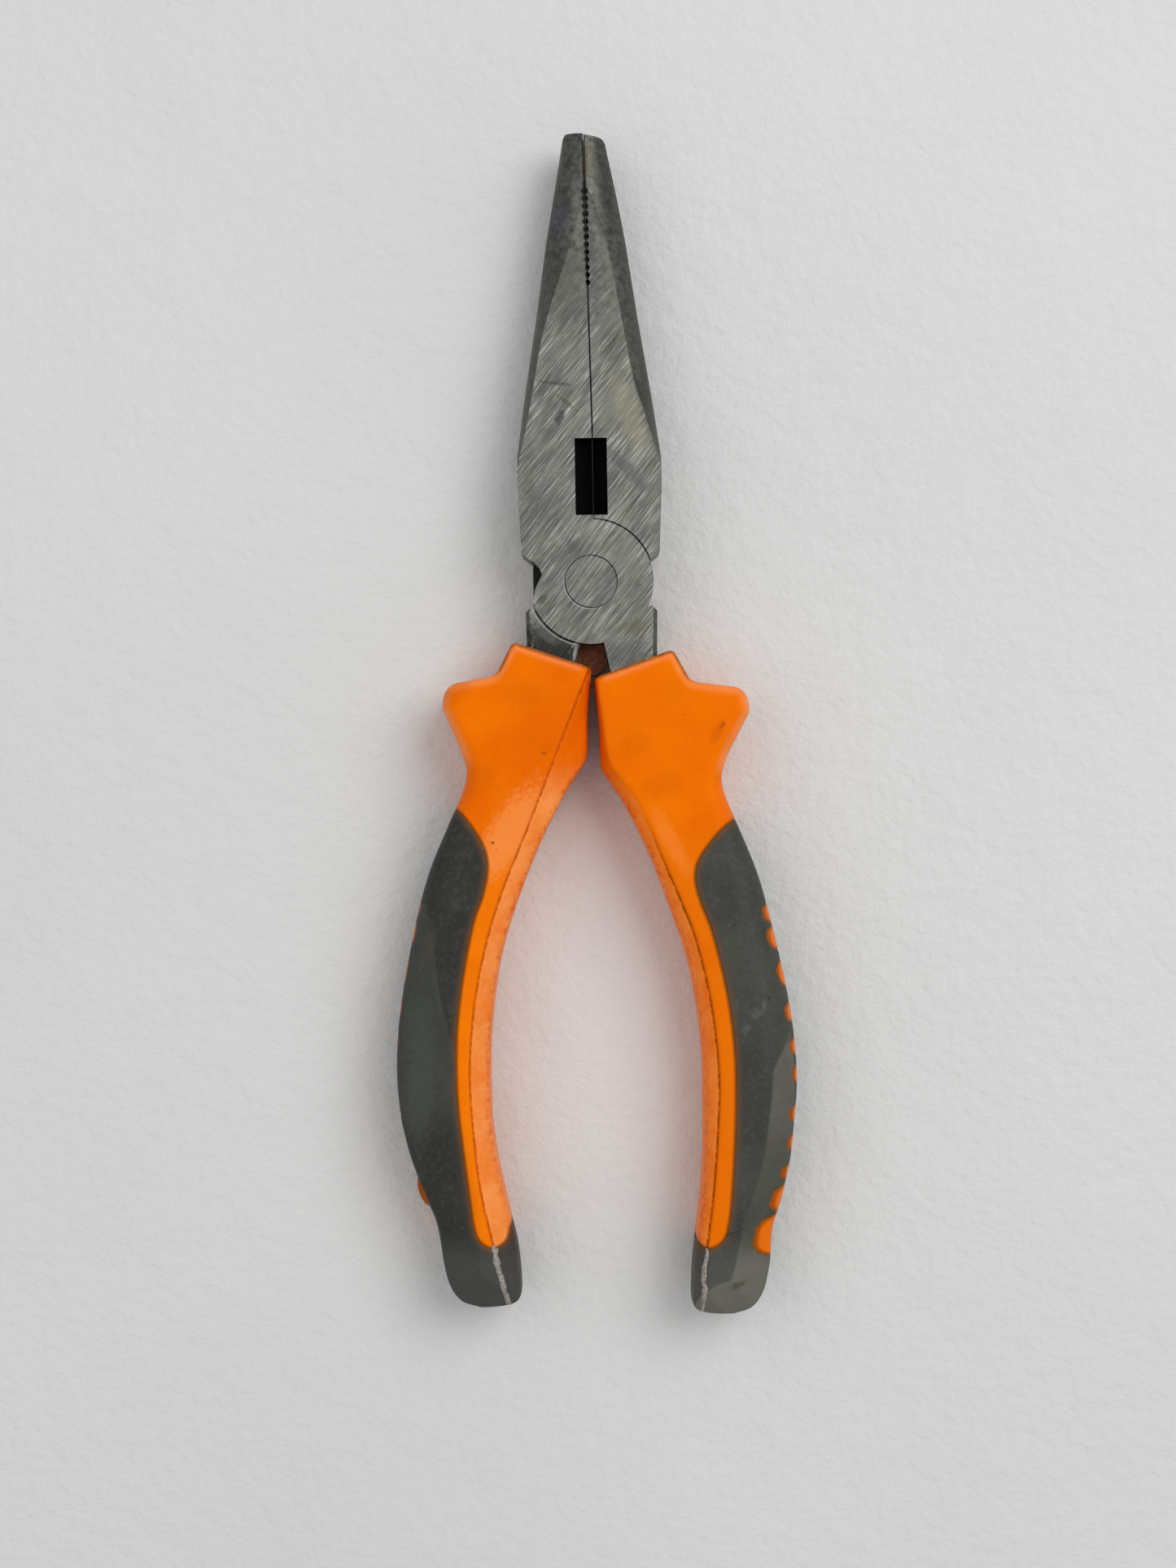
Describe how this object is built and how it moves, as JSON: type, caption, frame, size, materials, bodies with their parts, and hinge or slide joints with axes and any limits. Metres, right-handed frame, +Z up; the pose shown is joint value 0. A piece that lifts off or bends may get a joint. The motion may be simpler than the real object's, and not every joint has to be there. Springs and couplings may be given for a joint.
{
  "type": "flat nose pliers",
  "caption": "Long flat nose pliers with lap-jointed forged jaws, a wire cutter window and two-layer moulded grips with finger guards.",
  "frame": {"origin": "under the middle of the closed pliers' bounding box, on the surface that the grips lie on", "axes": "+Y towards the jaw tips, +Z up along the pivot, +X towards the handle of the front forging"},
  "size_m": [0.0702, 0.2053, 0.0175],
  "materials": {
    "ground_steel": "ground and lightly scratched",
    "rivet_steel": "ground flush",
    "orange_sleeve": "satin moulded",
    "grey_overmould": "soft matte moulded"
  },
  "bodies": {
    "front": {"front_lever": "ground_steel", "pivot_rivet": "rivet_steel", "right_grip_body": "orange_sleeve", "right_grip_overmould": "grey_overmould"},
    "rear": {"rear_lever": "ground_steel", "left_grip_body": "orange_sleeve", "left_grip_overmould": "grey_overmould"}
  },
  "joints": [
    {"name": "pivot_hinge", "type": "hinge", "parent": "front", "child": "rear", "pos_m": [0, 0.02475, 0.00875], "axis": [0, 0, -1], "range_deg": [0, 40]}
  ]
}
